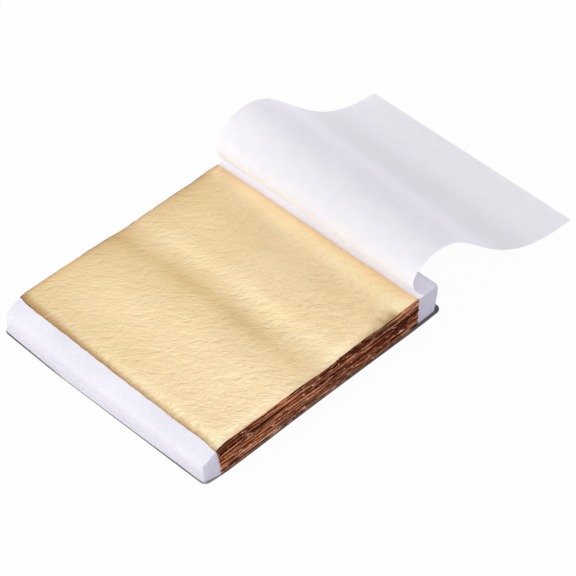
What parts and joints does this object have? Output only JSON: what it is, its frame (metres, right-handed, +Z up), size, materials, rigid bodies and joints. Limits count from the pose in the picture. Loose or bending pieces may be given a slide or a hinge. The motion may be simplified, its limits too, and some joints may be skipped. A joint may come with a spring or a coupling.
{
  "type": "gold leaf booklet",
  "caption": "Booklet of gold-coloured metal leaves between white tissue sheets, bound on a grey backing card, with the top tissue turned back over the spine.",
  "frame": {"origin": "on the resting face of the backing card, under the middle of the leaves", "axes": "+Y from the fore edge to the spine, along the leaf's 80 mm; +X across the booklet, along its 85 mm; +Z up out of the stack"},
  "size_m": [0.0884, 0.1517, 0.027],
  "materials": {
    "leaf": "satin, finely crinkled metal leaf",
    "tissue": "matt white tissue paper",
    "top_tissue": "matt translucent white tissue paper",
    "card": "matt dark grey board",
    "glue": "dried padding glue"
  },
  "bodies": {
    "booklet_base": {"backing_card": "card", "spine_glue": "glue", "bound_strips_upper": "tissue", "bound_strips_lower": "tissue"},
    "turned_loop": {"turned_tissue_loop": "top_tissue"},
    "turned_tail": {"turned_tissue_tail": "top_tissue"},
    "top_leaf": {"gold_leaf_01": "leaf"},
    "page_02": {"tissue_02": "tissue"},
    "page_03": {"tissue_03": "tissue", "gold_leaf_02": "leaf"},
    "page_04": {"tissue_04": "tissue", "gold_leaf_03": "leaf"},
    "page_05": {"tissue_05": "tissue", "gold_leaf_04": "leaf"},
    "page_06": {"tissue_06": "tissue", "gold_leaf_05": "leaf"},
    "page_07": {"tissue_07": "tissue", "gold_leaf_06": "leaf"},
    "page_08": {"tissue_08": "tissue", "gold_leaf_07": "leaf"},
    "page_09": {"tissue_09": "tissue", "gold_leaf_08": "leaf"},
    "page_10": {"tissue_10": "tissue", "gold_leaf_09": "leaf"},
    "page_11": {"tissue_11": "tissue", "gold_leaf_10": "leaf"},
    "section_1": {"tissues_12_21": "tissue", "gold_leaves_11_20": "leaf"},
    "section_2": {"tissues_22_31": "tissue", "gold_leaves_21_30": "leaf"},
    "section_3": {"tissues_32_41": "tissue", "gold_leaves_31_40": "leaf"},
    "section_4": {"tissues_42_51": "tissue", "gold_leaves_41_50": "leaf"},
    "section_5": {"tissues_52_61": "tissue", "gold_leaves_51_60": "leaf"},
    "section_6": {"tissues_62_71": "tissue", "gold_leaves_61_70": "leaf"},
    "section_7": {"tissues_72_81": "tissue", "gold_leaves_71_80": "leaf"},
    "section_8": {"tissues_82_91": "tissue", "gold_leaves_81_90": "leaf"},
    "section_9": {"tissues_92_101": "tissue", "gold_leaves_91_100": "leaf"}
  },
  "joints": [
    {"name": "turned_tissue_bend", "type": "hinge", "parent": "turned_loop", "child": "turned_tail", "pos_m": [0.00043, 0.0502, 0.026], "axis": [0.9989, -0.04, -0.0235], "range_deg": [0, 160]},
    {"name": "turned_tissue_fold", "type": "hinge", "parent": "booklet_base", "child": "turned_loop", "pos_m": [0, 0.0426, 0.0103], "axis": [1, 0, 0], "range_deg": [0, 10]},
    {"name": "top_leaf_slide", "type": "slide", "parent": "page_02", "child": "top_leaf", "axis": [0, -1, 0], "range_m": [0, 0.1]},
    {"name": "section_1_fold", "type": "hinge", "parent": "booklet_base", "child": "section_1", "pos_m": [0, 0.0415, 0.0093], "axis": [-1, 0, 0], "range_deg": [0, 15]},
    {"name": "page_11_fold", "type": "hinge", "parent": "booklet_base", "child": "page_11", "pos_m": [0, 0.0416, 0.00939], "axis": [-1, 0, 0], "range_deg": [0, 16.5]},
    {"name": "page_10_fold", "type": "hinge", "parent": "booklet_base", "child": "page_10", "pos_m": [0, 0.0417, 0.00949], "axis": [-1, 0, 0], "range_deg": [0, 18]},
    {"name": "page_09_fold", "type": "hinge", "parent": "booklet_base", "child": "page_09", "pos_m": [0, 0.0418, 0.00959], "axis": [-1, 0, 0], "range_deg": [0, 19.5]},
    {"name": "page_08_fold", "type": "hinge", "parent": "booklet_base", "child": "page_08", "pos_m": [0, 0.0419, 0.00968], "axis": [-1, 0, 0], "range_deg": [0, 21]},
    {"name": "page_07_fold", "type": "hinge", "parent": "booklet_base", "child": "page_07", "pos_m": [0, 0.042, 0.00978], "axis": [-1, 0, 0], "range_deg": [0, 22.5]},
    {"name": "page_06_fold", "type": "hinge", "parent": "booklet_base", "child": "page_06", "pos_m": [0, 0.0421, 0.00987], "axis": [-1, 0, 0], "range_deg": [0, 24]},
    {"name": "page_05_fold", "type": "hinge", "parent": "booklet_base", "child": "page_05", "pos_m": [0, 0.0422, 0.00997], "axis": [-1, 0, 0], "range_deg": [0, 25.5]},
    {"name": "page_04_fold", "type": "hinge", "parent": "booklet_base", "child": "page_04", "pos_m": [0, 0.0423, 0.01006], "axis": [-1, 0, 0], "range_deg": [0, 27]},
    {"name": "page_03_fold", "type": "hinge", "parent": "booklet_base", "child": "page_03", "pos_m": [0, 0.0424, 0.01016], "axis": [-1, 0, 0], "range_deg": [0, 28.5]},
    {"name": "page_02_fold", "type": "hinge", "parent": "booklet_base", "child": "page_02", "pos_m": [0, 0.0425, 0.01025], "axis": [-1, 0, 0], "range_deg": [0, 30]},
    {"name": "section_2_fold", "type": "hinge", "parent": "booklet_base", "child": "section_2", "pos_m": [0, 0.0414, 0.00833], "axis": [-1, 0, 0], "range_deg": [0, 13.5]},
    {"name": "section_3_fold", "type": "hinge", "parent": "booklet_base", "child": "section_3", "pos_m": [0, 0.0413, 0.00736], "axis": [-1, 0, 0], "range_deg": [0, 12]},
    {"name": "section_4_fold", "type": "hinge", "parent": "booklet_base", "child": "section_4", "pos_m": [0, 0.0412, 0.00639], "axis": [-1, 0, 0], "range_deg": [0, 10.5]},
    {"name": "section_5_fold", "type": "hinge", "parent": "booklet_base", "child": "section_5", "pos_m": [0, 0.0411, 0.00542], "axis": [-1, 0, 0], "range_deg": [0, 9]},
    {"name": "section_6_fold", "type": "hinge", "parent": "booklet_base", "child": "section_6", "pos_m": [0, 0.041, 0.00444], "axis": [-1, 0, 0], "range_deg": [0, 7.5]},
    {"name": "section_7_fold", "type": "hinge", "parent": "booklet_base", "child": "section_7", "pos_m": [0, 0.0409, 0.00347], "axis": [-1, 0, 0], "range_deg": [0, 6]},
    {"name": "section_8_fold", "type": "hinge", "parent": "booklet_base", "child": "section_8", "pos_m": [0, 0.0408, 0.0025], "axis": [-1, 0, 0], "range_deg": [0, 4.5]},
    {"name": "section_9_fold", "type": "hinge", "parent": "booklet_base", "child": "section_9", "pos_m": [0, 0.0407, 0.00153], "axis": [-1, 0, 0], "range_deg": [0, 3]}
  ],
  "couplings": [
    {"joint": "turned_tissue_fold", "follows": "turned_tissue_bend", "ratio": 0.0625},
    {"joint": "page_11_fold", "follows": "section_1_fold", "ratio": 1.1},
    {"joint": "page_10_fold", "follows": "section_1_fold", "ratio": 1.2},
    {"joint": "page_09_fold", "follows": "section_1_fold", "ratio": 1.3},
    {"joint": "page_08_fold", "follows": "section_1_fold", "ratio": 1.4},
    {"joint": "page_07_fold", "follows": "section_1_fold", "ratio": 1.5},
    {"joint": "page_06_fold", "follows": "section_1_fold", "ratio": 1.6},
    {"joint": "page_05_fold", "follows": "section_1_fold", "ratio": 1.7},
    {"joint": "page_04_fold", "follows": "section_1_fold", "ratio": 1.8},
    {"joint": "page_03_fold", "follows": "section_1_fold", "ratio": 1.9},
    {"joint": "page_02_fold", "follows": "section_1_fold", "ratio": 2},
    {"joint": "section_2_fold", "follows": "section_1_fold", "ratio": 0.9},
    {"joint": "section_3_fold", "follows": "section_1_fold", "ratio": 0.8},
    {"joint": "section_4_fold", "follows": "section_1_fold", "ratio": 0.7},
    {"joint": "section_5_fold", "follows": "section_1_fold", "ratio": 0.6},
    {"joint": "section_6_fold", "follows": "section_1_fold", "ratio": 0.5},
    {"joint": "section_7_fold", "follows": "section_1_fold", "ratio": 0.4},
    {"joint": "section_8_fold", "follows": "section_1_fold", "ratio": 0.3},
    {"joint": "section_9_fold", "follows": "section_1_fold", "ratio": 0.2}
  ]
}
